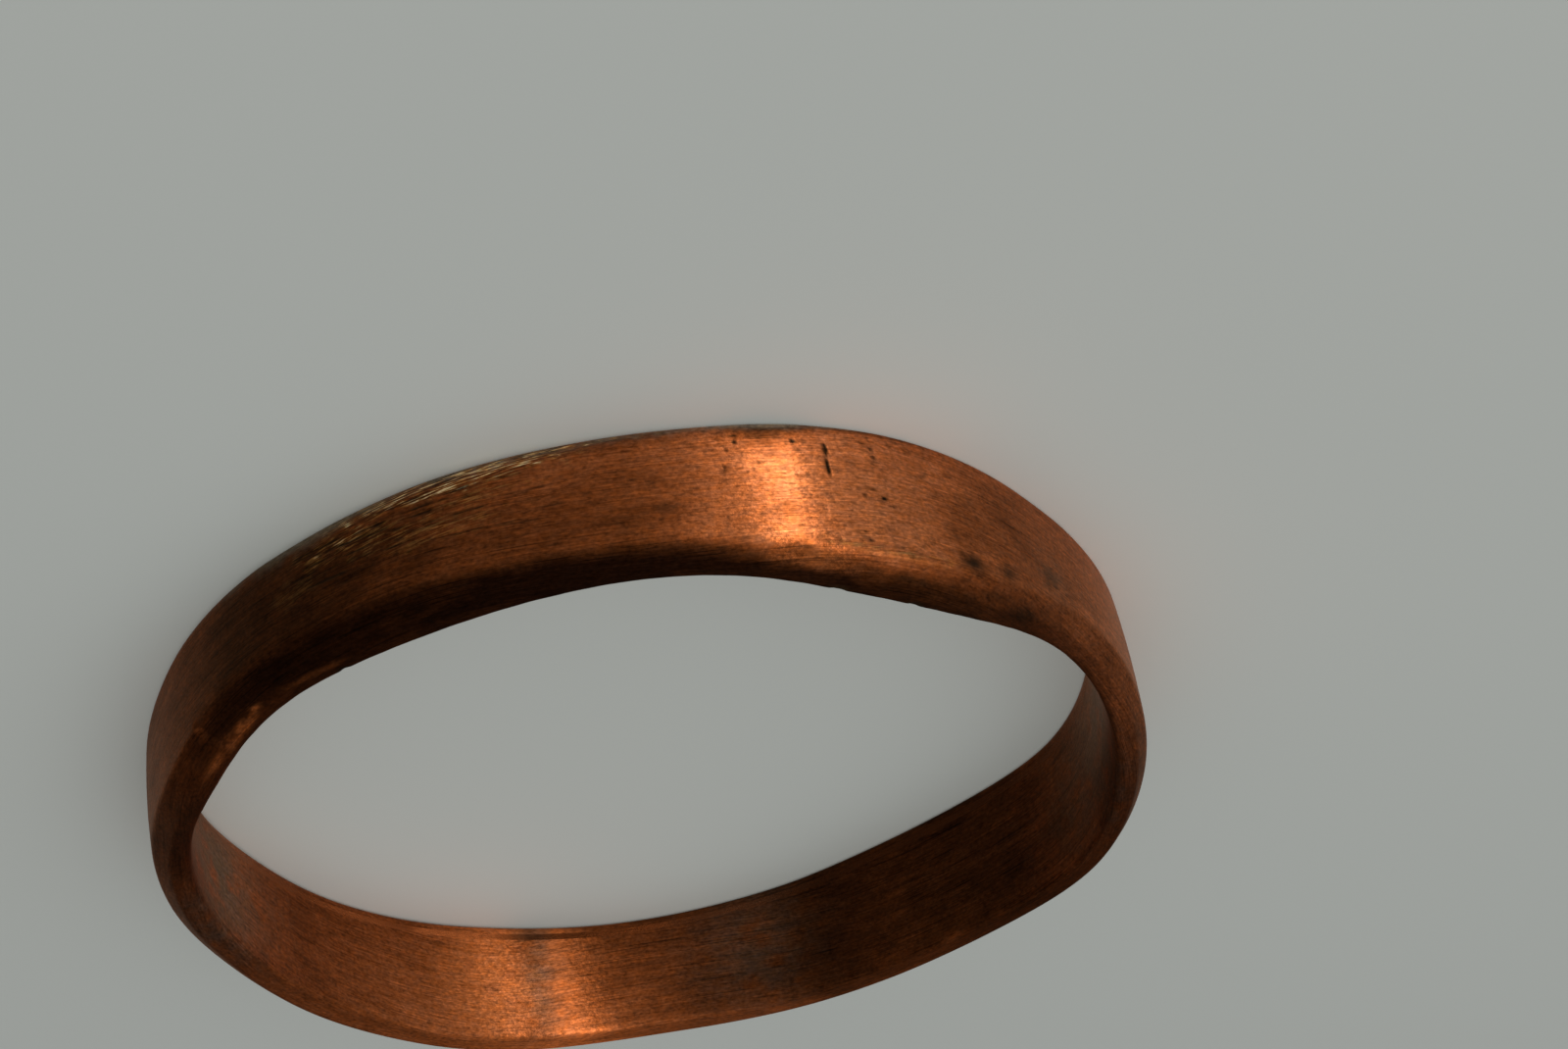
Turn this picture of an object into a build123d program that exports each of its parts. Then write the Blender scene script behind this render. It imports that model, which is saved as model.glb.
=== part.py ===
from build123d import *
from collections import namedtuple
from math import cos, radians, sin
import os

# A plain hand-made finger ring: one copper strip, bent round by hand, closed and filed.
# The ring lies on its side: +Z is the axis of the finger hole and the rest face is at Z = 0.
# Angles run round +Z from +X. The front of the band is at -Y, the back at +Y.
# All lengths are in millimetres.

bore_diameter = 18.2  # finger hole, a mean over the uneven hand-bent circle
band_wall = 0.95  # thickness of the strip
band_width = 2.7  # width of the strip, measured along the finger
upper_bevel_rise = 0.35  # filed slope along the upper outer edge, its height
lower_bevel_rise = 0.40  # filed flat along the lower outer edge, its height
lower_bevel_inset = 0.18  # and how far it cuts into the wall
inner_round = 0.12  # worn radius of the two edges that touch the finger
outer_crown = 0.03  # how far the outer face bulges between its two bevels
rest_trim = 0.01  # taken off the underside so that it rests on one flat face
run_on = 4  # stations that each half of the band is lofted past its ends

# The band's shape, one row for each station round the ring. The columns are shares:
# bore of half the bore diameter, wall of the wall, width of the width, upper of the upper
# bevel's rise, shoulder of the local wall, lower of both lower bevel sizes, inner of the
# inner round.
Station = namedtuple("Station", "angle bore wall width upper shoulder lower inner")
stations = [
    Station(0, 1.004, 0.85, 0.900, 0.85, 0.38, 0.28, 1.6),
    Station(15, 0.992, 0.92, 0.935, 0.80, 0.34, 0.22, 1.2),
    Station(30, 1.000, 0.96, 0.965, 0.72, 0.30, 0.22, 1.0),
    Station(45, 1.006, 0.95, 1.010, 0.70, 0.28, 0.22, 1.0),
    Station(60, 1.001, 0.94, 1.045, 0.70, 0.28, 0.22, 1.0),
    Station(75, 1.001, 0.93, 1.000, 0.70, 0.28, 0.22, 1.0),
    Station(90, 0.992, 0.91, 1.010, 0.72, 0.28, 0.22, 1.0),
    Station(105, 0.977, 0.90, 1.065, 0.72, 0.28, 0.22, 1.0),
    Station(120, 0.968, 0.88, 1.105, 0.74, 0.28, 0.22, 1.0),
    Station(135, 0.994, 0.84, 1.125, 0.76, 0.30, 0.22, 1.0),
    Station(150, 1.038, 0.80, 1.130, 0.80, 0.32, 0.22, 1.0),
    Station(165, 1.038, 0.76, 1.095, 0.86, 0.36, 0.22, 1.0),
    Station(180, 1.022, 0.75, 1.020, 0.88, 0.38, 0.22, 1.0),
    Station(195, 1.005, 0.77, 0.940, 0.90, 0.40, 0.22, 1.0),
    Station(210, 0.993, 0.83, 0.980, 0.95, 0.42, 0.22, 0.8),
    Station(225, 1.003, 0.92, 1.120, 1.00, 0.42, 0.22, 0.7),
    Station(240, 1.017, 0.92, 1.130, 0.98, 0.42, 0.24, 0.6),
    Station(255, 1.027, 0.79, 1.030, 0.80, 0.50, 0.40, 0.5),
    Station(270, 1.026, 0.86, 0.995, 0.64, 0.60, 0.80, 0.5),
    Station(285, 1.013, 1.06, 0.975, 0.68, 0.62, 1.00, 0.6),
    Station(300, 0.998, 1.15, 0.900, 0.84, 0.60, 0.90, 0.8),
    Station(315, 0.993, 1.09, 0.880, 0.80, 0.58, 0.50, 1.6),
    Station(330, 0.990, 0.98, 0.920, 0.75, 0.52, 0.33, 2.2),
    Station(345, 1.004, 0.82, 0.860, 0.80, 0.44, 0.28, 2.0),
]


def arc_between(start, end, bulge):
    """An arc from start to end that stands out by bulge to the right of its way."""
    run = Vector(end[0] - start[0], end[1] - start[1])
    out = Vector(run.Y, -run.X).normalized() * bulge
    middle = (start[0] + run.X / 2 + out.X, start[1] + run.Y / 2 + out.Y)
    return ThreePointArc(start, middle, end)


def band_section(station):
    """The closed outline of the band at one station, across the wall and up the width."""
    wall = band_wall * station.wall
    width = band_width * station.width
    inside = bore_diameter / 2 * station.bore
    outside = inside + wall
    soft = min(inner_round * station.inner, wall * (1 - station.shoulder) * 0.8)
    foot_inset = min(lower_bevel_inset * station.lower, wall / 2)
    foot_rise = min(lower_bevel_rise * station.lower, width / 3)
    shoulder_inset = wall * station.shoulder
    shoulder_rise = min(upper_bevel_rise * station.upper, width / 3)
    quarter_bulge = soft * (1 - cos(radians(45)))

    inner_low = (inside, soft)
    foot_inner = (inside + soft, 0)
    foot_outer = (outside - foot_inset, 0)
    wall_low = (outside, foot_rise)
    wall_high = (outside, width - shoulder_rise)
    top_outer = (outside - shoulder_inset, width)
    top_inner = (inside + soft, width)
    inner_high = (inside, width - soft)
    outline = [
        arc_between(inner_low, foot_inner, quarter_bulge),
        Line(foot_inner, foot_outer),
        Line(foot_outer, wall_low),
        arc_between(wall_low, wall_high, outer_crown),
        Line(wall_high, top_outer),
        Line(top_outer, top_inner),
        arc_between(top_inner, inner_high, quarter_bulge),
        Line(inner_high, inner_low),
    ]
    outward = (cos(radians(station.angle)), sin(radians(station.angle)), 0)
    across = (sin(radians(station.angle)), -cos(radians(station.angle)), 0)
    plane = Plane(origin=(0, 0, 0), x_dir=outward, z_dir=across)
    return plane.from_local_coords(Wire(outline))


def half_band(first):
    """Half the band, lofted from the station numbered first round to the one opposite.

    The loft starts and ends a few stations beyond the half and is cut back to it, so that
    the band runs on smoothly where the two halves meet.
    """
    half = len(stations) // 2
    numbers = range(first - run_on, first + half + run_on + 1)
    sections = [band_section(stations[number % len(stations)]) for number in numbers]
    reach = bore_diameter + 4 * band_wall
    turn = Rot(0, 0, stations[first % len(stations)].angle)
    keep = turn * Pos(0, 0, rest_trim) * Box(
        2 * reach, reach, 2 * band_width, align=(Align.CENTER, Align.MIN, Align.MIN)
    )
    return Solid.make_loft(sections) & keep


def ring_band():
    """The whole band: its two halves in one solid, centred over its flat rest face."""
    band = (half_band(0) + half_band(len(stations) // 2)).solid()
    corner_box = band.bounding_box()
    middle = corner_box.center()
    return Pos(-middle.X, -middle.Y, -corner_box.min.Z) * band


os.makedirs("parts", exist_ok=True)
export_step(ring_band(), "parts/ring_band.step")
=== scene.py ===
import math
import random

import bmesh
import bpy
import numpy as np
from mathutils import Matrix, Vector, noise


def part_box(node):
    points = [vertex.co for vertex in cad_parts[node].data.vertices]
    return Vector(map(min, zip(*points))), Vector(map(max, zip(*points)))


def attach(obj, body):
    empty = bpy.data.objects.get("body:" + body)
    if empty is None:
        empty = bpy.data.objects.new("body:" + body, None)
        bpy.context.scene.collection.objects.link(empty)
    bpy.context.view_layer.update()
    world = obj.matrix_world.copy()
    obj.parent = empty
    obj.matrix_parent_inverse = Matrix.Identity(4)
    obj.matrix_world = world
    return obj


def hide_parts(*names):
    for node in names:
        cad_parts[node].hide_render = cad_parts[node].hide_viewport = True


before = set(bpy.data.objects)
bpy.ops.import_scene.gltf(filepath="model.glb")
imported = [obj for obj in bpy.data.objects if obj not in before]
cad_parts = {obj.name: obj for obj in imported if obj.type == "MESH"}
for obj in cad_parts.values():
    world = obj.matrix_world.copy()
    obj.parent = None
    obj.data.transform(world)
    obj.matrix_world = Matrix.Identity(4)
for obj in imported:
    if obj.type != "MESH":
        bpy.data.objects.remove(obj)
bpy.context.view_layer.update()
mm = 0.001  # in metres
print("frame loaded:", len(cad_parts), "node")


# The band: one copper strip, bent round by hand, closed and filed. Lengths are in millimetres
# and angles in degrees round +Z from +X. The front, at 270, is the side that the camera is near.
band = {
    "node": "ring_band",
    "boreDiameter": 18.2,
    "wall": 0.95,
    "width": 2.7,
    "upperBevelRise": 0.35,
    "lowerBevelRise": 0.40,
    "lowerBevelInset": 0.18,
    "innerRound": 0.12,
    "innerRoundLimit": 0.8,  # of the top face
    "crown": 0.03,
    "restTrim": 0.01,
    # Shares of the sizes above, a row every 15 degrees from 0.
    "columns": ("bore", "wall", "width", "upper", "shoulder", "lower", "inner"),
    "stations": [
        (1.004, 0.85, 0.900, 0.85, 0.38, 0.28, 1.6),
        (0.992, 0.92, 0.935, 0.80, 0.34, 0.22, 1.2),
        (1.000, 0.96, 0.965, 0.72, 0.30, 0.22, 1.0),
        (1.006, 0.95, 1.010, 0.70, 0.28, 0.22, 1.0),
        (1.001, 0.94, 1.045, 0.70, 0.28, 0.22, 1.0),
        (1.001, 0.93, 1.000, 0.70, 0.28, 0.22, 1.0),
        (0.992, 0.91, 1.010, 0.72, 0.28, 0.22, 1.0),
        (0.977, 0.90, 1.065, 0.72, 0.28, 0.22, 1.0),
        (0.968, 0.88, 1.105, 0.74, 0.28, 0.22, 1.0),
        (0.994, 0.84, 1.125, 0.76, 0.30, 0.22, 1.0),
        (1.038, 0.80, 1.130, 0.80, 0.32, 0.22, 1.0),
        (1.038, 0.76, 1.095, 0.86, 0.36, 0.22, 1.0),
        (1.022, 0.75, 1.020, 0.88, 0.38, 0.22, 1.0),
        (1.005, 0.77, 0.940, 0.90, 0.40, 0.22, 1.0),
        (0.993, 0.83, 0.980, 0.95, 0.42, 0.22, 0.8),
        (1.003, 0.92, 1.120, 1.00, 0.42, 0.22, 0.7),
        (1.017, 0.92, 1.130, 0.98, 0.42, 0.24, 0.6),
        (1.027, 0.79, 1.030, 0.80, 0.50, 0.40, 0.5),
        (1.026, 0.86, 0.995, 0.64, 0.60, 0.80, 0.5),
        (1.013, 1.06, 0.975, 0.68, 0.62, 1.00, 0.6),
        (0.998, 1.15, 0.900, 0.84, 0.60, 0.90, 0.8),
        (0.993, 1.09, 0.880, 0.80, 0.58, 0.50, 1.6),
        (0.990, 0.98, 0.920, 0.75, 0.52, 0.33, 2.2),
        (1.004, 0.82, 0.860, 0.80, 0.44, 0.28, 2.0),
    ],
    # Ridges across the strip where it was bent: the angle, the lift in millimetres, then the reach
    # and the crease in degrees.
    "bends": [
        (246.5, 0.048, 4.0, 1.9),
        (251.3, 0.012, 2.0, 1.0),
        (236.0, 0.014, 5.0, 1.2),
        (284.0, 0.018, 6.0, 1.0),
        (305.5, 0.034, 5.0, 0.8),
        (205.0, 0.020, 6.0, 1.5),
        (350.0, 0.014, 7.0, 1.5),
        (52.0, 0.020, 7.0, 1.5),
        (76.0, 0.016, 6.0, 1.5),
        (104.0, 0.020, 6.0, 1.5),
        (150.0, 0.020, 6.0, 1.5),
    ],
    # Rows of faces on each side of the section, in the order that its outline runs.
    "sideRows": {
        "innerLowRound": 4,
        "underside": 6,
        "lowerBevel": 10,
        "outerWall": 58,
        "upperBevel": 12,
        "sideFace": 12,
        "innerHighRound": 6,
        "innerWall": 12,
    },
    "hoopSteps": 200,
    "cutsBetween": 3,
    "crowdedAngle": 258,  # the faces are smallest here
    "crowding": 0.72,  # 0 spaces them evenly
    "softenPasses": 4,  # rounds the arrises
}


rowCount = sum(band["sideRows"].values())
stepCount = band["hoopSteps"] * (band["cutsBetween"] + 1)


def turnFrom(angles, angle):
    # How far round each angle is from a given one, the short way.
    return (angles - angle + 180) % 360 - 180


def smoothRows(values, passes):
    # Each pass blends every row of the outline with the two beside it.
    for _ in range(passes):
        values = (np.roll(values, 1, axis=1) + 2 * values + np.roll(values, -1, axis=1)) / 4
    return values


def stationValues(angles):
    # A smooth closed curve through each column, read at any angle.
    table = np.array(band["stations"])
    count = len(table)
    turns = np.arange(count) * 2 * math.pi / count
    knots = np.fft.ifft(np.fft.fft(table, axis=0) * 3 / (2 + np.cos(turns))[:, None], axis=0).real
    place = (angles % 360) / 360 * count
    first = np.floor(place).astype(int)
    t = (place - first)[:, None]
    weights = ((1 - t) ** 3, 3 * t**3 - 6 * t**2 + 4, -3 * t**3 + 3 * t**2 + 3 * t + 1, t**3)
    values = sum(w * knots[(first + step) % count] for step, w in enumerate(weights, -1)) / 6
    return dict(zip(band["columns"], values.T))


def bendLift(angles):
    lift = np.zeros(len(angles))
    for angle, height, reach, crease in band["bends"]:
        away = turnFrom(angles, angle)
        lift += height * np.exp(-np.hypot(away, crease) / reach)
    return lift


def sectionOutline(angles):
    # Radius and height of every row of the section, at every angle.
    share = stationValues(angles)
    wall = band["wall"] * share["wall"]
    inside = band["boreDiameter"] / 2 * share["bore"] + bendLift(angles)
    outside = inside + wall
    width = band["width"] * share["width"]
    topFace = wall * (1 - share["shoulder"])
    soft = np.minimum(band["innerRound"] * share["inner"], topFace * band["innerRoundLimit"])
    footRise = band["lowerBevelRise"] * share["lower"]
    shoulderRise = band["upperBevelRise"] * share["upper"]
    corners = [
        (inside, soft),
        (inside + soft, 0 * width),
        (outside - band["lowerBevelInset"] * share["lower"], 0 * width),
        (outside, footRise),
        (outside, width - shoulderRise),
        (outside - wall * share["shoulder"], width),
        (inside + soft, width),
        (inside, width - soft),
    ]
    outline = []
    for side, (name, count) in enumerate(band["sideRows"].items()):
        start = np.stack(corners[side], -1)[:, None, :]
        end = np.stack(corners[(side + 1) % len(corners)], -1)[:, None, :]
        run = end - start
        length = np.linalg.norm(run, axis=-1, keepdims=True)
        outward = np.stack([run[..., 1], -run[..., 0]], -1) / length
        quarterRound = length * (math.sqrt(2) - 1) / 2
        bulge = quarterRound if name.endswith("Round") else band["crown"] * (name == "outerWall")
        along = (np.arange(count) / count)[None, :, None]
        outline.append(start + run * along + outward * bulge * 4 * along * (1 - along))
    return smoothRows(np.concatenate(outline, axis=1), band["softenPasses"])


def spinHoop():
    # A plain hoop: an upright circle spun round the finger's axis, then cut finer between.
    bm = bmesh.new()
    ringVerts = bmesh.ops.create_circle(bm, cap_ends=False, radius=1, segments=rowCount)["verts"]
    bmesh.ops.rotate(bm, verts=ringVerts, cent=(0, 0, 0), matrix=Matrix.Rotation(math.pi / 2, 3, "X"))
    bmesh.ops.translate(bm, verts=ringVerts, vec=(band["boreDiameter"] / 2, 0, 0))
    bmesh.ops.spin(
        bm,
        geom=bm.verts[:] + bm.edges[:],
        cent=(0, 0, 0),
        axis=(0, 0, 1),
        angle=2 * math.pi,
        steps=band["hoopSteps"],
        use_merge=True,
    )
    smallTurn = 1e-3
    lengthways = [e for e in bm.edges if abs(e.verts[0].co.xy.cross(e.verts[1].co.xy)) > smallTurn]
    bmesh.ops.subdivide_edges(bm, edges=lengthways, cuts=band["cutsBetween"], use_grid_fill=True)
    return bm


def crowdedAngles():
    even = np.arange(stepCount) * 360 / stepCount
    return even - np.degrees(band["crowding"] * np.sin(np.radians(even - band["crowdedAngle"])))


def hoopGrid():
    # The hoop, with the step round it and the row of the outline that each point stands for.
    bm = spinHoop()
    points = np.array([v.co for v in bm.verts])
    turn = np.arctan2(points[:, 1], points[:, 0]) / (2 * math.pi)
    step = np.rint(turn * stepCount).astype(int) % stepCount
    reach = np.hypot(points[:, 0], points[:, 1]) - band["boreDiameter"] / 2
    row = np.rint(np.arctan2(points[:, 2], reach) / (2 * math.pi) * rowCount).astype(int) % rowCount
    return bm, step, row


# Wear and working marks, with painted shade and painted highlights among them. Each row starts
# with the angle, the side of the section, and how far across that side, 0 to 1; then the reach
# round the band and across it, in millimetres.
wearAndPaintedLight = {
    # then the darkness that is added: partly real tarnish and partly painted shade, as on the right
    # of the front, near 205 to 230
    "tarnishAndShade": [
        (282.5, "outerWall", 0.60, 3.0, 3.0, 0.34),
        (302, "outerWall", 0.60, 3.0, 3.0, 0.55),
        (322, "outerWall", 0.50, 3.4, 3.0, 0.29),
        (345, "outerWall", 0.50, 4.0, 3.0, 0.22),
        (270, "outerWall", 0.75, 2.0, 0.8, 0.16),
        (268, "outerWall", 0.50, 1.8, 3.0, 0.12),
        (259.5, "outerWall", 0.60, 1.3, 3.0, 0.22),
        (248.2, "outerWall", 0.02, 0.8, 0.42, 0.66),
        (248.0, "outerWall", 0.74, 0.9, 0.40, 0.18),
        (227, "outerWall", 0.62, 0.6, 0.5, 0.16),
        (205, "outerWall", 0.50, 1.4, 3.0, 0.20),
        (266, "lowerBevel", 0.60, 2.6, 0.16, 0.16),
        (250, "lowerBevel", 0.50, 2.0, 0.14, 0.30),
        (238, "lowerBevel", 0.50, 1.6, 0.10, 0.45),
        (219, "outerWall", 0.50, 1.8, 2.0, 0.34),
        (190, "outerWall", 0.50, 3.0, 3.0, 0.05),
        (128, "innerWall", 0.50, 4.6, 3.0, 0.47),
        (98, "innerWall", 0.50, 1.6, 3.0, 0.10),
        (108, "innerWall", 0.50, 1.3, 3.0, 0.20),
        (98, "innerWall", 0.22, 2.8, 0.75, 0.15),
        (141, "innerWall", 0.20, 1.8, 0.60, 0.09),
        (152, "innerWall", 0.50, 3.6, 3.0, 0.29),
        (88, "innerWall", 0.50, 1.4, 3.0, 0.20),
        (26, "innerWall", 0.50, 2.4, 3.0, 0.34),
        (48, "innerWall", 0.50, 1.6, 3.0, 0.12),
        (72, "innerWall", 0.50, 1.2, 3.0, 0.30),
        (64.8, "innerWall", 0.50, 0.50, 3.0, 0.34),
        (350, "innerWall", 0.50, 2.4, 3.0, 0.25),
        (120, "outerWall", 0.60, 6.0, 3.0, 0.25),
        (60, "outerWall", 0.40, 5.0, 3.0, 0.15),
        (90, "underside", 0.50, 9.0, 2.0, 0.25),
    ],
    # The bevel and the top face: how dark they are at each of these places, a row for each angle.
    # This darkness is partly tarnish and partly painted shade.
    "edgePlaces": [
        ("outerWall", 0.90),
        ("upperBevel", 0.00),
        ("upperBevel", 0.33),
        ("upperBevel", 0.67),
        ("sideFace", 0.00),
        ("sideFace", 0.50),
        ("innerHighRound", 0.50),
    ],
    "edgeTarnishAndShade": [
        (0, 0.00, 0.25, 0.30, 0.35, 0.35, 0.35, 0.40),
        (90, 0.00, 0.25, 0.35, 0.40, 0.40, 0.45, 0.45),
        (165, 0.00, 0.20, 0.30, 0.40, 0.45, 0.45, 0.50),
        (188, 0.00, 0.15, 0.20, 0.24, 0.20, 0.20, 0.40),
        (197, 0.00, 0.20, 0.26, 0.28, 0.26, 0.26, 0.45),
        (205, 0.00, 0.20, 0.20, 0.20, 0.20, 0.20, 0.50),
        (213, 0.00, 0.34, 0.32, 0.32, 0.42, 0.55, 0.65),
        (221, 0.00, 0.36, 0.30, 0.46, 0.58, 0.60, 0.75),
        (227, 0.00, 0.46, 0.41, 0.58, 0.72, 0.80, 0.90),
        (233, 0.00, 0.26, 0.33, 0.68, 0.84, 0.80, 0.95),
        (237, 0.00, 0.06, 0.31, 0.62, 0.82, 0.80, 0.95),
        (242, 0.00, 0.20, 0.66, 0.72, 0.86, 0.92, 1.00),
        (244.4, 0.00, 0.42, 0.70, 0.66, 0.90, 0.98, 1.00),
        (246.7, 0.02, 0.54, 0.76, 0.60, 0.94, 1.00, 1.00),
        (250.8, 0.00, 0.04, 0.48, 0.66, 0.86, 0.98, 1.00),
        (255, 0.10, 0.42, 0.78, 0.84, 0.92, 0.96, 0.95),
        (259, 0.20, 0.54, 0.84, 0.92, 0.96, 0.88, 0.90),
        (266, 0.36, 0.74, 0.92, 1.00, 1.00, 0.96, 0.95),
        (276, 0.44, 0.84, 0.98, 1.00, 1.00, 0.88, 0.88),
        (286, 0.60, 0.88, 0.84, 0.90, 0.86, 0.84, 0.84),
        (295, 0.66, 0.84, 0.88, 0.80, 0.83, 0.76, 0.76),
        (301, 0.70, 0.82, 0.86, 0.82, 0.78, 0.70, 0.70),
        (309, 0.50, 0.68, 0.88, 0.86, 0.70, 0.62, 0.66),
        (317, 0.40, 0.50, 0.68, 0.70, 0.63, 0.55, 0.60),
        (325, 0.30, 0.38, 0.49, 0.47, 0.44, 0.38, 0.50),
        (340, 0.16, 0.24, 0.22, 0.26, 0.24, 0.24, 0.45),
    ],
    "edgeFade": 10,  # rows of the wall below these places
    "edgeEnd": ("innerWall", 0.15),
    "edgeSoftness": 3,
    # then how nearly black the spot is
    "stains": [
        (227.2, "outerWall", 0.90, 0.29, 0.18, 0.54),
        (225.6, "outerWall", 0.93, 0.31, 0.21, 0.54),
        (227.6, "upperBevel", 0.30, 0.16, 0.05, 0.55),
        (220.7, "outerWall", 0.90, 0.22, 0.20, 0.66),
        (236.9, "outerWall", 0.54, 0.085, 0.060, 0.55),
        (260.0, "outerWall", 0.68, 0.24, 0.12, 0.46),
        (211.0, "outerWall", 0.76, 0.20, 0.24, 0.45),
        (212.5, "outerWall", 0.80, 0.12, 0.34, 0.35),
        (230.2, "outerWall", 0.43, 0.08, 0.07, 0.38),
        (230.4, "outerWall", 0.09, 0.08, 0.07, 0.32),
        (235.6, "outerWall", 0.59, 0.05, 0.04, 0.32),
        (235.2, "outerWall", 0.65, 0.05, 0.04, 0.28),
        (249.0, "outerWall", 0.73, 0.09, 0.06, 0.26),
        (253.7, "outerWall", 0.38, 0.035, 0.10, 0.24),
        (260.9, "outerWall", 0.42, 0.16, 0.09, 0.22),
        (225.5, "outerWall", 0.38, 0.22, 0.20, 0.25),
        (228.2, "outerWall", 0.72, 0.08, 0.08, 0.35),
        (216.0, "sideFace", 0.05, 0.42, 0.20, 0.66),
        (222.5, "upperBevel", 0.60, 0.45, 0.09, 0.45),
        (234.0, "upperBevel", 0.75, 0.40, 0.07, 0.40),
    ],
    # a narrow gash, dark to the ends: then the depth in millimetres
    "gashes": [
        (242.52, "outerWall", 0.190, 0.050, 0.135, 0.005),
        (242.64, "outerWall", 0.335, 0.054, 0.200, 0.005),
    ],
    # then the depth in millimetres
    "pits": [
        (252.1, "outerWall", 0.07, 0.045, 0.024, 0.008),
        (252.1, "outerWall", 0.13, 0.035, 0.028, 0.009),
        (253.1, "outerWall", 0.20, 0.032, 0.024, 0.006),
        (249.6, "outerWall", 0.09, 0.060, 0.022, 0.004),
        (245.9, "outerWall", 0.13, 0.040, 0.026, 0.010),
        (244.6, "outerWall", 0.13, 0.038, 0.020, 0.006),
        (245.6, "outerWall", 0.20, 0.030, 0.020, 0.006),
        (238.1, "outerWall", 0.09, 0.045, 0.022, 0.008),
        (237.2, "outerWall", 0.13, 0.034, 0.026, 0.009),
        (237.1, "outerWall", 0.20, 0.030, 0.022, 0.008),
        (237.4, "outerWall", 0.26, 0.026, 0.020, 0.006),
        (239.1, "outerWall", 0.54, 0.040, 0.026, 0.007),
        (238.0, "outerWall", 0.48, 0.060, 0.022, 0.007),
        (236.9, "outerWall", 0.54, 0.040, 0.034, 0.005),
        (236.0, "outerWall", 0.60, 0.034, 0.026, 0.007),
        (239.5, "outerWall", 0.91, 0.034, 0.024, 0.007),
        (253.6, "outerWall", 0.37, 0.024, 0.060, 0.004),
        (299.5, "innerHighRound", 0.50, 0.100, 0.080, 0.020),
        (241.8, "innerHighRound", 0.50, 0.140, 0.080, 0.016),
        (232.1, "innerHighRound", 0.50, 0.120, 0.080, 0.016),
    ],
    # pitPaint and gashPaint are painted shade in and round the pits and in the gashes
    "pitPaint": 110,  # darkness gained per millimetre of depth
    "pitSpread": 1.7,  # the dark rim round a pit
    "gashPaint": 1.3,
    # Tiny pits strewn over the front: the middle and the spread of their angles, and the least
    # and the most of all else.
    "pepper": {
        "seed": 3,
        "count": 110,
        "angle": (243, 7),
        "share": (0.02, 0.98),
        "reachRound": (0.018, 0.065),
        "reachAcross": (0.016, 0.028),
        "depth": (0.001, 0.005),
    },
    # Nicks of the file, strewn the same way but most of them low on the wall
    "gouges": {
        "seed": 7,
        "count": 60,
        "angle": (287, 8),
        "shareSpread": 0.34,
        "highest": 0.95,
        "reachRound": (0.12, 0.38),
        "reachAcross": 0.020,
        "depth": (0.003, 0.009),
        "deepest": 0.020,
        # paint: painted shade in the nicks, darkness gained per millimetre of depth
        "paint": 130,
    },
    # a strip left rough by the file: then how strong
    "filed": [
        (278.5, "outerWall", 0.01, 1.30, 0.17, 1.00),
        (284.5, "lowerBevel", 0.85, 1.10, 0.20, 1.00),
        (274.0, "lowerBevel", 0.80, 1.20, 0.18, 0.85),
        (290.5, "lowerBevel", 0.85, 0.80, 0.10, 0.60),
        (280.0, "lowerBevel", 0.45, 2.20, 0.22, 0.60),
        (278.5, "outerWall", 0.20, 0.80, 0.12, 0.45),
        (283.0, "outerWall", 0.42, 1.20, 0.25, 0.34),
        (294.0, "outerWall", 0.12, 0.90, 0.16, 0.45),
        (291.0, "outerWall", 0.24, 1.10, 0.22, 0.45),
        (300.0, "outerWall", 0.45, 0.60, 0.25, 0.14),
        (236.5, "outerWall", 0.965, 1.30, 0.08, 0.55),
    ],
    # a grey film: then how thick
    "filmed": [
        (284, "lowerBevel", 0.30, 2.2, 0.16, 0.85),
        (270, "lowerBevel", 0.45, 2.0, 0.14, 0.50),
        (300, "lowerBevel", 0.35, 1.8, 0.22, 0.75),
        (252, "lowerBevel", 0.40, 2.4, 0.10, 0.36),
        (4, "innerWall", 0.50, 1.6, 1.5, 0.80),
        (170, "innerWall", 0.50, 2.0, 1.5, 0.58),
        (96, "innerWall", 0.50, 1.3, 1.5, 0.18),
        (64.8, "innerWall", 0.50, 0.50, 1.5, 0.14),
        (211, "outerWall", 0.70, 0.5, 0.5, 0.25),
    ],
    # bare, shining metal on the edges, partly real wear and partly a painted highlight, as along the
    # arris near 236 and on the inner wall near 57: then how bright
    "rubbedAndHighlight": [
        (301.0, "sideFace", 0.33, 0.60, 0.06, 0.16),
        (306.0, "sideFace", 0.25, 0.50, 0.06, 0.12),
        (311.9, "sideFace", 0.02, 0.15, 0.07, 0.90),
        (314.4, "sideFace", 0.20, 0.28, 0.10, 0.64),
        (317.0, "sideFace", 0.32, 0.38, 0.12, 0.36),
        (320.0, "sideFace", 0.36, 0.45, 0.12, 0.52),
        (323.2, "sideFace", 0.30, 0.40, 0.09, 0.60),
        (236.0, "upperBevel", 0.00, 1.1, 0.050, 0.50),
        (57, "innerWall", 0.50, 1.1, 1.4, 0.30),
    ],
    # How flat each kind of mark is in the middle, and how ragged its edge is
    "spotShapes": {
        "tarnishAndShade": (1, 0),
        "stains": (1.6, 0.3),
        "gashes": (2, 0.2),
        "pits": (2, 0.4),
        "gouges": (2, 0.4),
        "filed": (2, 1),
        "filmed": (1, 0.6),
        "rubbedAndHighlight": (1.5, 0.4),
    },
    # Noise: its size, its seed, its stretch round the band and its strength
    "noise": {
        "uneven": (2.4, 3, 1, 0.010),
        "fine": (0.55, 11, 2.5, 0.002),
        "edge": (0.45, 19, 1, 0.007),
        "wobble": (0.16, 29, 1, 1.2),  # this one only makes the marks ragged
    },
    "roughEdge": ("innerHighRound", 0.4),
    "roughRows": 5,
    "softArris": (249, 256, 340, 358),  # from crisp to soft and back, in degrees
    "softFrom": ("outerWall", 0.6),
    "softTo": ("sideFace", 0.5),
    "softFade": (8, 5),  # in rows, at either end
    "softPasses": 36,
}


def smoothStep(value, start, end):
    t = np.clip((value - start) / (end - start), 0, 1)
    return t * t * (3 - 2 * t)


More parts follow.
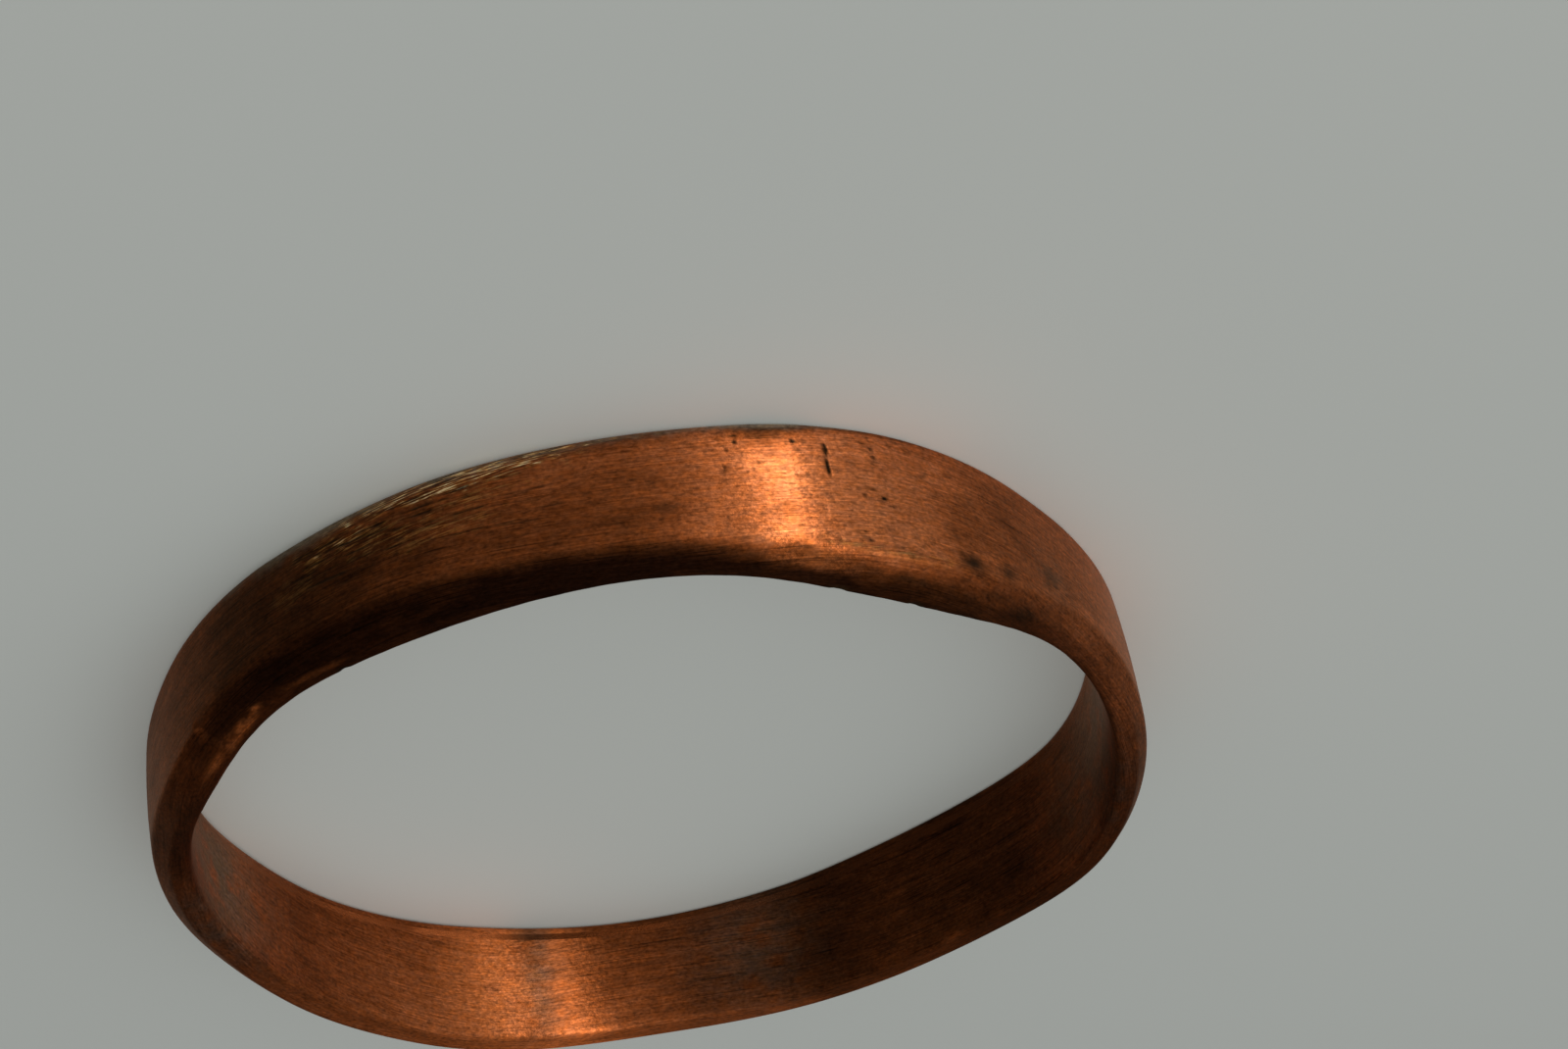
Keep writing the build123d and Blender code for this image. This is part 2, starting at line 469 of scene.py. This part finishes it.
class Skin:
    # The band's surface as a grid: one line of it for each angle, one column for each outline row.
    def __init__(self, angles, outline):
        self.angles = angles[:, None]
        self.outline = outline
        self.wobble = 0
        run = np.roll(outline, -1, axis=1) - outline
        lengths = np.linalg.norm(run, axis=-1)
        self.girth = lengths.sum(axis=1)[:, None]
        self.across = np.cumsum(lengths, axis=1) - lengths
        slope = np.roll(outline, -1, axis=1) - np.roll(outline, 1, axis=1)
        slope = slope / np.linalg.norm(slope, axis=-1, keepdims=True)
        self.outward = np.stack([slope[..., 1], -slope[..., 0]], -1)

    def rowOf(self, side, share):
        names = list(band["sideRows"])
        before = sum(band["sideRows"][name] for name in names[: names.index(side)])
        return before + share * band["sideRows"][side]

    def distances(self, angle, side, share):
        # Millimetres round the band and across it, from one place on it.
        row = self.rowOf(side, share)
        first = int(row)
        part = row - first
        here = self.across[:, first % rowCount]
        ahead = self.across[:, (first + 1) % rowCount]
        place = (here + (ahead - here) * part)[:, None]
        away = (self.across - place + self.girth / 2) % self.girth - self.girth / 2
        turned = np.radians(turnFrom(self.angles, angle))
        return turned * self.outline[..., 0], away

    def spot(self, row, kind):
        # 1 in the middle of a mark, falling to 0 round it.
        angle, side, share, reachRound, reachAcross = row[:5]
        flatness, raggedness = wearAndPaintedLight["spotShapes"][kind]
        alongRing, away = self.distances(angle, side, share)
        far = (alongRing / reachRound) ** 2 + (away / reachAcross) ** 2
        return np.exp(-((far * np.exp(self.wobble * raggedness)) ** flatness))

    def gather(self, table, kind):
        return sum(row[-1] * self.spot(row, kind) for row in table)

    def noiseField(self, layer):
        # Smooth noise over the surface, with no seam round the band.
        size, seed, stretch, strength = wearAndPaintedLight["noise"][layer]
        turn = np.radians(self.angles)
        x = self.outline[..., 0] * np.cos(turn) / stretch
        y = self.outline[..., 0] * np.sin(turn) / stretch
        points = np.stack([x, y, self.outline[..., 1]], -1).reshape(-1, 3) / size + seed
        values = [noise.noise(Vector(point)) for point in points]
        return strength * np.array(values).reshape(self.across.shape)

    def push(self, depth):
        self.outline = self.outline + self.outward * depth[..., None]


def softenArris(skin):
    # Where the left of the front was rubbed, the top edge of the wall is rounder.
    starts, whole, wanes, ends = wearAndPaintedLight["softArris"]
    worn = smoothStep(skin.angles, starts, whole) * (1 - smoothStep(skin.angles, wanes, ends))
    row = np.arange(rowCount)[None, :]
    first = skin.rowOf(*wearAndPaintedLight["softFrom"])
    last = skin.rowOf(*wearAndPaintedLight["softTo"])
    fadeIn, fadeOut = wearAndPaintedLight["softFade"]
    weight = smoothStep(row, first, first + fadeIn) * (1 - smoothStep(row, last - fadeOut, last))
    soft = smoothRows(skin.outline, wearAndPaintedLight["softPasses"])
    skin.outline = skin.outline + (soft - skin.outline) * (worn * weight)[..., None]


def edgeTarnishAndShade(skin):
    # The darkness of the bevel and the top face, partly tarnish and partly painted shade, between the
    # places and rows of the table.
    table = np.array(wearAndPaintedLight["edgeTarnishAndShade"])
    places = [skin.rowOf(*place) for place in wearAndPaintedLight["edgePlaces"]]
    places = [places[0] - wearAndPaintedLight["edgeFade"], *places, skin.rowOf(*wearAndPaintedLight["edgeEnd"])]
    angles = skin.angles[:, 0] % 360
    tones = [np.interp(angles, table[:, 0], tone, period=360) for tone in table[:, 1:].T]
    lines = np.stack([0 * angles, *tones, 0 * angles], -1)
    tone = np.array([np.interp(np.arange(rowCount), places, line) for line in lines])
    return smoothRows(tone, wearAndPaintedLight["edgeSoftness"])


def pepperPits():
    # Rows like those in the table of pits.
    pepper = wearAndPaintedLight["pepper"]
    draw = random.Random(pepper["seed"])
    rows = []
    for _ in range(pepper["count"]):
        angle = draw.gauss(*pepper["angle"])
        share = draw.uniform(*pepper["share"])
        reachRound = draw.uniform(*pepper["reachRound"])
        reachAcross = draw.uniform(*pepper["reachAcross"])
        depth = draw.uniform(*pepper["depth"])
        rows.append((angle, "outerWall", share, reachRound, reachAcross, depth))
    return rows


def gougeDepths(skin):
    gouges = wearAndPaintedLight["gouges"]
    draw = random.Random(gouges["seed"])
    depths = np.zeros(skin.across.shape)
    for _ in range(gouges["count"]):
        angle = draw.gauss(*gouges["angle"])
        share = min(abs(draw.gauss(0, gouges["shareSpread"])), gouges["highest"])
        reachRound = draw.uniform(*gouges["reachRound"])
        depth = draw.uniform(*gouges["depth"])
        row = (angle, "outerWall", share, reachRound, gouges["reachAcross"])
        depths += depth * skin.spot(row, "gouges")
    return np.minimum(depths, gouges["deepest"])


def workSurface(skin):
    # Hand work and use: uneven faces, ragged edges, pits, gashes and nicks of the file, with painted
    # shade in the pits, gashes and nicks.
    softenArris(skin)
    skin.push(skin.noiseField("uneven"))
    skin.push(skin.noiseField("fine"))
    edgeRow = skin.rowOf(*wearAndPaintedLight["roughEdge"])
    nearEdge = np.exp(-(((np.arange(rowCount) - edgeRow) / wearAndPaintedLight["roughRows"]) ** 2))
    skin.push(skin.noiseField("edge") * nearEdge)
    skin.wobble = skin.noiseField("wobble")
    filed = skin.gather(wearAndPaintedLight["filed"], "filed")
    pits = wearAndPaintedLight["pits"] + pepperPits()
    spread = wearAndPaintedLight["pitSpread"]
    rims = [(*row[:3], row[3] * spread, row[4] * spread, row[5]) for row in pits]
    # Painted shade in and round the pits, and in the gashes
    pitShade = skin.gather(rims, "pits") * wearAndPaintedLight["pitPaint"]
    skin.push(-skin.gather(pits + wearAndPaintedLight["gashes"], "pits"))
    gashShade = sum(skin.spot(row, "gashes") for row in wearAndPaintedLight["gashes"]) * wearAndPaintedLight["gashPaint"]
    gouges = gougeDepths(skin)
    skin.push(-gouges)
    marks = {
        # Real stains, with painted shade in the pits and gashes
        "stainAndPitShade": skin.gather(wearAndPaintedLight["stains"], "stains") + pitShade + gashShade,
        "filed": filed,
        "filmed": skin.gather(wearAndPaintedLight["filmed"], "filmed"),
        "rubbedAndHighlight": skin.gather(wearAndPaintedLight["rubbedAndHighlight"], "rubbedAndHighlight"),
        # Painted shade in the nicks of the file
        "gougeShade": gouges * wearAndPaintedLight["gouges"]["paint"],
    }
    marks = {name: np.clip(values, 0, 1) for name, values in marks.items()}
    # Tarnish and the painted shade of the bevel and top face, whichever is darker
    marks["tarnishAndShade"] = np.maximum(skin.gather(wearAndPaintedLight["tarnishAndShade"], "tarnishAndShade"), edgeTarnishAndShade(skin))
    marks["across"] = skin.across
    return marks


def finishBand():
    bm, step, row = hoopGrid()
    angles = crowdedAngles()
    skin = Skin(angles, sectionOutline(angles))
    marks = workSurface(skin)
    turn = np.radians(skin.angles)
    radius = skin.outline[..., 0]
    height = np.maximum(skin.outline[..., 1] - band["restTrim"], 0)
    grid = np.stack([radius * np.cos(turn), radius * np.sin(turn), height], -1)
    # The finished surface keeps inside the CAD band's box, on the same centre.
    low, high = (np.array(corner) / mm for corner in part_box(band["node"]))
    lowest = grid.min(axis=(0, 1))
    highest = grid.max(axis=(0, 1))
    fit = np.minimum((high - low) / (highest - lowest), 1)
    fit[2] = min(high[2] / highest[2], 1)
    middle = (lowest + highest) / 2 * (1, 1, 0)
    centre = (low + high) / 2 * (1, 1, 0)
    grid = (grid - middle) * fit + centre
    for vert, place in zip(bm.verts, grid[step, row] * mm):
        vert.co = place
    bmesh.ops.recalc_face_normals(bm, faces=bm.faces[:])
    mesh = bpy.data.meshes.new("bandSurface")
    bm.to_mesh(mesh)
    bm.free()
    mesh.shade_smooth()
    for name, values in marks.items():
        mesh.attributes.new(name, "FLOAT", "POINT").data.foreach_set("value", values[step, row])
    addStripMap(mesh, step, row)
    piece = bpy.data.objects.new("bandSurface", mesh)
    bpy.context.collection.objects.link(piece)
    print("band:", len(mesh.polygons), "faces, fit", np.round(fit, 5))
    return piece


def addStripMap(mesh, step, row):
    # U runs across the section and V round the band, so the sheen spreads across the brushing.
    corners = np.zeros(len(mesh.loops), dtype=int)
    mesh.loops.foreach_get("vertex_index", corners)
    places = []
    for index, count in ((row, rowCount), (step, stepCount)):
        around = index[corners].reshape(-1, 4)
        wraps = around.max(axis=1) - around.min(axis=1) > count / 2
        around = around + (wraps[:, None] & (around < count / 2)) * count
        places.append(around.reshape(-1) / count)
    strip = mesh.uv_layers.new(name="strip")
    strip.uv.foreach_set("vector", np.stack(places, -1).reshape(-1))


bandSurface = finishBand()
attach(bandSurface, "root")
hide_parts(band["node"])


# The finish: brushed copper under a brown tarnish, with painted shade, glints and highlights
finish = {
    # From clean to nearly black, by how far the tarnish and the painted shade have gone.
    "tarnishAndShadeColours": [
        (0.00, (0.66, 0.215, 0.075)),
        (0.25, (0.47, 0.140, 0.044)),
        (0.50, (0.25, 0.068, 0.018)),
        (0.75, (0.085, 0.025, 0.007)),
        (1.00, (0.015, 0.005, 0.002)),
    ],
    "startTarnish": 0.08,
    # How much tarnish these patterns add or take away
    "mottleTone": 0.16,
    "lineTone": 0.08,
    "hairTone": 0.12,
    "goldenTint": (1.05, 0.97, 0.84),
    "rosyTint": (0.97, 1.00, 1.12),
    "rubbedAndHighlightColour": (0.95, 0.28, 0.07),
    "greyFilm": (0.21, 0.17, 0.12),
    # Tips of the file's scratches, painted as glints
    "goldTipGlints": (0.50, 0.25, 0.07),
    "paleTipGlints": (1.00, 0.74, 0.40),
    # The colour of stains, and of painted shade in pits, gashes, furrows and nicks
    "stainAndShadeColour": (0.024, 0.013, 0.006),
    "furrowShade": 0.7,
    "slant": -0.14,  # how steeply the scratches of the file cross the strip
    "edgeTint": (0.95, 0.82, 0.72),  # of reflections at a flat angle
    "roughness": 0.44,
    "roughnessSpread": 0.10,
    "anisotropy": 0.95,
    # Relief too fine for the mesh, in metres
    "grainDepth": 4e-6,
    "fineLineDepth": 6e-6,
    "scratchDepth": 1.6e-5,
    # Each pattern's streaks to a millimetre, round the band and across it, its detail and its shift
    "patterns": {
        "speckles": (11.0, 18.0, 2.0, 3.0),
        "strokes": (3.0, 24.0, 1.0, 0.0),
        "broadLines": (0.5, 6.0, 2.0, 7.0),
        "mottle": (1.4, 2.4, 4.0, 13.0),
        "hues": (5.0, 9.0, 2.0, 53.0),
        "flecks": (6.0, 15.0, 1.0, 31.0),
        "scratches": (2.2, 30.0, 3.0, 23.0),
        "hairlines": (0.6, 34.0, 0.0, 41.0),
        "shines": (0.5, 40.0, 0.0, 61.0),
    },
    # Two levels of each of these patterns, then the brightness at both
    "brightness": {
        "speckles": (0.25, 0.75, 0.62, 1.38),
        "strokes": (0.25, 0.75, 0.78, 1.22),
        "shines": (0.62, 0.72, 1.00, 1.30),
        "flecks": (0.60, 0.70, 1.00, 0.70),
    },
    # The levels at which each effect starts and is whole
    "levels": {
        "hairlines": (0.64, 0.72),
        "film": (0.32, 0.52),
        "tipGlints": (0.50, 0.58),
        "paleTipGlints": (0.56, 0.64),
        "paleFiled": (0.5, 0.9),
        "furrows": (0.47, 0.38),
        "rubbedAndHighlight": (0.34, 0.50),
        "hues": (0.35, 0.65),
        "roughness": (0.0, 0.8),
    },
}
levels = finish["levels"]
streakInputs = ("Round", "Across", "Detail", "Shift")


def addNode(tree, kind, inputs=(), **settings):
    # A node with its settings; inputs gives, by name or number, a value or a socket to link.
    node = tree.nodes.new("ShaderNode" + kind)
    for name, value in settings.items():
        setattr(node, name, value)
    for key, value in dict(inputs).items():
        if isinstance(value, bpy.types.NodeSocket):
            tree.links.new(value, node.inputs[key])
        else:
            node.inputs[key].default_value = value
    return node


def calculate(tree, operation, *values):
    return addNode(tree, "Math", dict(enumerate(values)), operation=operation).outputs[0]


def multiply(tree, first, second):
    return calculate(tree, "MULTIPLY", first, second)


def vectorMath(tree, operation, inputs):
    return addNode(tree, "VectorMath", inputs, operation=operation).outputs[0]


def remap(tree, value, fromLow, fromHigh, toLow=0.0, toHigh=1.0):
    values = {0: value, 1: fromLow, 2: fromHigh, 3: toLow, 4: toHigh}
    return addNode(tree, "MapRange", values, clamp=True).outputs[0]


def blend(tree, amount, first, second):
    values = {0: amount, 6: first, 7: second}
    for key in (6, 7):
        if isinstance(values[key], tuple):
            values[key] = (*values[key], 1)
    return addNode(tree, "Mix", values, data_type="RGBA").outputs[2]


def readMark(tree, name):
    return addNode(tree, "Attribute", attribute_name=name).outputs["Fac"]


def makeStreakGroup():
    # Noise drawn out along the band: how many streaks there are to a millimetre each way.
    group = bpy.data.node_groups.new("streaks", "ShaderNodeTree")
    sockets = group.interface
    sockets.new_socket("Place", in_out="INPUT", socket_type="NodeSocketVector")
    for name in streakInputs:
        sockets.new_socket(name, in_out="INPUT", socket_type="NodeSocketFloat")
    sockets.new_socket("Streaks", in_out="OUTPUT", socket_type="NodeSocketFloat")
    given = group.nodes.new("NodeGroupInput").outputs
    scales = addNode(group, "CombineXYZ", {0: given["Round"], 1: given["Round"], 2: given["Across"]})
    scaled = vectorMath(group, "MULTIPLY", {0: given["Place"], 1: scales.outputs[0]})
    shifted = vectorMath(group, "ADD", {0: scaled, 1: given["Shift"]})
    values = {"Vector": shifted, "Scale": 1.0, "Detail": given["Detail"]}
    noisy = addNode(group, "TexNoise", values, noise_dimensions="3D")
    result = group.nodes.new("NodeGroupOutput")
    group.links.new(noisy.outputs[0], result.inputs["Streaks"])
    return group


def addPatterns(tree):
    # Places in millimetres: x and y of the object, and the way across the strip.
    inMetres = addNode(tree, "TexCoord").outputs["Object"]
    inMillimetres = vectorMath(tree, "SCALE", {0: inMetres, "Scale": 1 / mm})
    axes = addNode(tree, "SeparateXYZ", {0: inMillimetres}).outputs
    across = readMark(tree, "across")
    place = addNode(tree, "CombineXYZ", {0: axes[0], 1: axes[1], 2: across}).outputs[0]
    slanted = calculate(tree, "MULTIPLY_ADD", axes[0], finish["slant"], across)
    filedPlace = addNode(tree, "CombineXYZ", {0: axes[0], 1: axes[1], 2: slanted}).outputs[0]
    group = makeStreakGroup()
    patterns = {}
    for name, values in finish["patterns"].items():
        inputs = dict(zip(streakInputs, values))
        inputs["Place"] = filedPlace if name == "scratches" else place
        patterns[name] = addNode(tree, "Group", inputs, node_tree=group).outputs["Streaks"]
    return patterns


def tarnishAndShadeLevel(tree, patterns):
    # The level of tarnish and painted shade, swung by the mottle and the broad lines
    tarnishAndShade = calculate(tree, "ADD", readMark(tree, "tarnishAndShade"), finish["startTarnish"])
    for name, tone in (("mottle", "mottleTone"), ("broadLines", "lineTone")):
        swing = calculate(tree, "SUBTRACT", patterns[name], 0.5)
        tarnishAndShade = calculate(tree, "ADD", tarnishAndShade, multiply(tree, swing, finish[tone] * 2))
    hair = remap(tree, patterns["hairlines"], *levels["hairlines"])
    return calculate(tree, "ADD", tarnishAndShade, multiply(tree, hair, finish["hairTone"]))


def tarnishAndShadeColour(tree, tarnishAndShade):
    ramp = addNode(tree, "ValToRGB", {0: tarnishAndShade})
    stops = ramp.color_ramp.elements
    while len(stops) < len(finish["tarnishAndShadeColours"]):
        stops.new(0.5)
    for stop, (position, colour) in zip(stops, finish["tarnishAndShadeColours"]):
        stop.position = position
        stop.color = (*colour, 1)
    return ramp.outputs[0]


def paintFiled(tree, colour, patterns, filed):
    # Tips along the scratches of the file, painted pale and golden as glints, and dark furrows
    # between them as painted shade.
    scratches = patterns["scratches"]
    pale = remap(tree, scratches, *levels["paleTipGlints"])
    pale = multiply(tree, pale, remap(tree, filed, *levels["paleFiled"]))
    tipGlintColour = blend(tree, pale, finish["goldTipGlints"], finish["paleTipGlints"])
    tipGlints = multiply(tree, filed, remap(tree, scratches, *levels["tipGlints"]))
    colour = blend(tree, tipGlints, colour, tipGlintColour)
    furrows = multiply(tree, filed, remap(tree, scratches, *levels["furrows"]))
    furrows = multiply(tree, furrows, finish["furrowShade"])
    furrows = calculate(tree, "MAXIMUM", furrows, readMark(tree, "gougeShade"))
    return blend(tree, furrows, colour, finish["stainAndShadeColour"])


def paintGrain(tree, colour, patterns):
    brightness = 1.0
    for name, change in finish["brightness"].items():
        brightness = multiply(tree, remap(tree, patterns[name], *change), brightness)
    hue = remap(tree, patterns["hues"], *levels["hues"])
    tint = blend(tree, hue, finish["goldenTint"], finish["rosyTint"])
    colour = vectorMath(tree, "MULTIPLY", {0: colour, 1: tint})
    return vectorMath(tree, "SCALE", {0: colour, "Scale": brightness})


def addRelief(tree, patterns, filed):
    # Grain, then brushed lines, then the file's scratches, each on the one before.
    cuts = multiply(tree, patterns["scratches"], filed)
    layers = (
        (patterns["speckles"], "grainDepth"),
        (patterns["strokes"], "fineLineDepth"),
        (cuts, "scratchDepth"),
    )
    below = {}
    for height, depth in layers:
        bump = addNode(tree, "Bump", {"Height": height, "Distance": finish[depth], **below})
        below = {"Normal": bump.outputs[0]}
    return bump.outputs[0]


def wornCopperWithPaintedLight():
    material = bpy.data.materials.new("wornCopperWithPaintedLight")
    material.use_nodes = True
    tree = material.node_tree
    shader = tree.nodes["Principled BSDF"]
    patterns = addPatterns(tree)
    filed = readMark(tree, "filed")
    tarnishAndShade = tarnishAndShadeLevel(tree, patterns)
    colour = tarnishAndShadeColour(tree, tarnishAndShade)
    film = remap(tree, patterns["mottle"], *levels["film"])
    film = multiply(tree, readMark(tree, "filmed"), film)
    colour = blend(tree, film, colour, finish["greyFilm"])
    colour = paintFiled(tree, colour, patterns, filed)
    # Bright bare metal, partly worn and partly a painted highlight
    rubbedAndHighlight = remap(tree, patterns["mottle"], *levels["rubbedAndHighlight"])
    rubbedAndHighlight = multiply(tree, readMark(tree, "rubbedAndHighlight"), rubbedAndHighlight)
    colour = blend(tree, rubbedAndHighlight, colour, finish["rubbedAndHighlightColour"])
    # Stains, and painted shade in the pits and gashes
    colour = blend(tree, readMark(tree, "stainAndPitShade"), colour, finish["stainAndShadeColour"])
    tree.links.new(paintGrain(tree, colour, patterns), shader.inputs["Base Color"])
    low = finish["roughness"] - finish["roughnessSpread"] / 2
    high = finish["roughness"] + finish["roughnessSpread"] / 2
    roughness = remap(tree, tarnishAndShade, *levels["roughness"], low, high)
    tree.links.new(roughness, shader.inputs["Roughness"])
    shader.inputs["Metallic"].default_value = 1.0
    shader.inputs["Specular Tint"].default_value = (*finish["edgeTint"], 1)
    shader.inputs["Anisotropic"].default_value = finish["anisotropy"]
    tangent = addNode(tree, "Tangent", direction_type="UV_MAP", uv_map="strip")
    tree.links.new(tangent.outputs[0], shader.inputs["Tangent"])
    tree.links.new(addRelief(tree, patterns, filed), shader.inputs["Normal"])
    return material


bandSurface.data.materials.append(wornCopperWithPaintedLight())
print("copper finish made")

# The floor and the room, in metres
studio = {
    "floorSize": 1.2,
    "floorColour": (0.475, 0.505, 0.485),
    "floorRoughness": 0.9,
    "floorSpecular": 0.1,
    "backdropColour": (0.36, 0.385, 0.37),
    "brightSide": (0.80, 0.80, 0.80),
    "darkSide": (0.05, 0.048, 0.046),
    "brightTowards": (-0.35, -0.45, 0.82),
    "gradient": (-0.10, 1.00),  # cosines of the angle to that side, where it is dark and bright
}


def makeFloor():
    mesh = bpy.data.meshes.new("floor")
    bm = bmesh.new()
    bmesh.ops.create_grid(bm, x_segments=1, y_segments=1, size=studio["floorSize"] / 2)
    bm.to_mesh(mesh)
    bm.free()
    floor = bpy.data.objects.new("floor", mesh)
    bpy.context.collection.objects.link(floor)
    material = bpy.data.materials.new("paleFloor")
    material.use_nodes = True
    shader = material.node_tree.nodes["Principled BSDF"]
    shader.inputs["Base Color"].default_value = (*studio["floorColour"], 1)
    shader.inputs["Roughness"].default_value = studio["floorRoughness"]
    shader.inputs["Specular IOR Level"].default_value = studio["floorSpecular"]
    mesh.materials.append(material)


def makeWorld():
    # A room that is bright on one side and dark on the other; a plain backdrop where it is seen.
    world = bpy.data.worlds.new("studioWorld")
    world.use_nodes = True
    tree = world.node_tree
    background = tree.nodes["Background"]
    direction = addNode(tree, "TexCoord").outputs["Generated"]
    brightTowards = tuple(Vector(studio["brightTowards"]).normalized())
    values = {0: direction, 1: brightTowards}
    facing = addNode(tree, "VectorMath", values, operation="DOT_PRODUCT").outputs["Value"]
    values = {0: facing, 1: studio["gradient"][0], 2: studio["gradient"][1]}
    shade = addNode(tree, "MapRange", values, interpolation_type="SMOOTHSTEP").outputs[0]
    room = blend(tree, shade, studio["darkSide"], studio["brightSide"])
    seen = addNode(tree, "LightPath").outputs["Is Camera Ray"]
    final = blend(tree, seen, room, studio["backdropColour"])
    tree.links.new(final, background.inputs["Color"])
    bpy.context.scene.world = world


lamps = {
    # azimuth and elevation in degrees; distance, width and height in metres; power in watts; colour
    "keyStrip": (232, 19, 0.30, 0.026, 0.18, 0.56, (1.0, 0.96, 0.90)),
}


def makeLamp(name, azimuth, elevation, distance, width, height, power, colour):
    light = bpy.data.lights.new(name, "AREA")
    light.shape = "RECTANGLE"
    light.size = width
    light.size_y = height
    light.energy = power
    light.color = colour
    light.use_shadow = False
    lamp = bpy.data.objects.new(name, light)
    turn = math.radians(azimuth)
    rise = math.radians(elevation)
    level = math.cos(rise)
    place = Vector((math.cos(turn) * level, math.sin(turn) * level, math.sin(rise))) * distance
    lamp.location = place
    lamp.rotation_euler = place.to_track_quat("Z", "Y").to_euler()
    bpy.context.collection.objects.link(lamp)


makeFloor()
makeWorld()
for name, values in lamps.items():
    makeLamp(name, *values)
bpy.context.scene.view_settings.view_transform = "Standard"

# The camera looks down at the near side of the band, nearly upside down, as in the photograph.
# Lengths are in millimetres.
viewpoint = {
    "elevation": 33.13,
    "roll": 168.4,
    "distance": 61.31,
    "sideways": -3.70,
    "upwards": -3.29,
    "lens": 68.63,
    "sensor": 36,
    "shift": (0.0425, 0.128),  # of the place, in x and y
    "clip": (0.001, 10),  # in metres
}


def makeCamera():
    elevation = math.radians(viewpoint["elevation"])
    roll = math.radians(viewpoint["roll"])
    ahead = Vector((0, math.cos(elevation), -math.sin(elevation)))
    side = Vector((1, 0, 0))
    top = Vector((0, math.sin(elevation), math.cos(elevation)))
    right = math.cos(roll) * side + math.sin(roll) * top
    up = -math.sin(roll) * side + math.cos(roll) * top
    place = -viewpoint["distance"] * ahead + viewpoint["sideways"] * side + viewpoint["upwards"] * top
    place += Vector((*viewpoint["shift"], 0))
    data = bpy.data.cameras.new("camera")
    data.sensor_width = viewpoint["sensor"]
    data.lens = viewpoint["lens"]
    data.clip_start, data.clip_end = viewpoint["clip"]
    camera = bpy.data.objects.new("camera", data)
    turned = Matrix((right, up, -ahead)).transposed().to_4x4()
    camera.matrix_world = Matrix.Translation(place * mm) @ turned
    bpy.context.collection.objects.link(camera)
    bpy.context.scene.camera = camera


makeCamera()
print("camera and light placed")
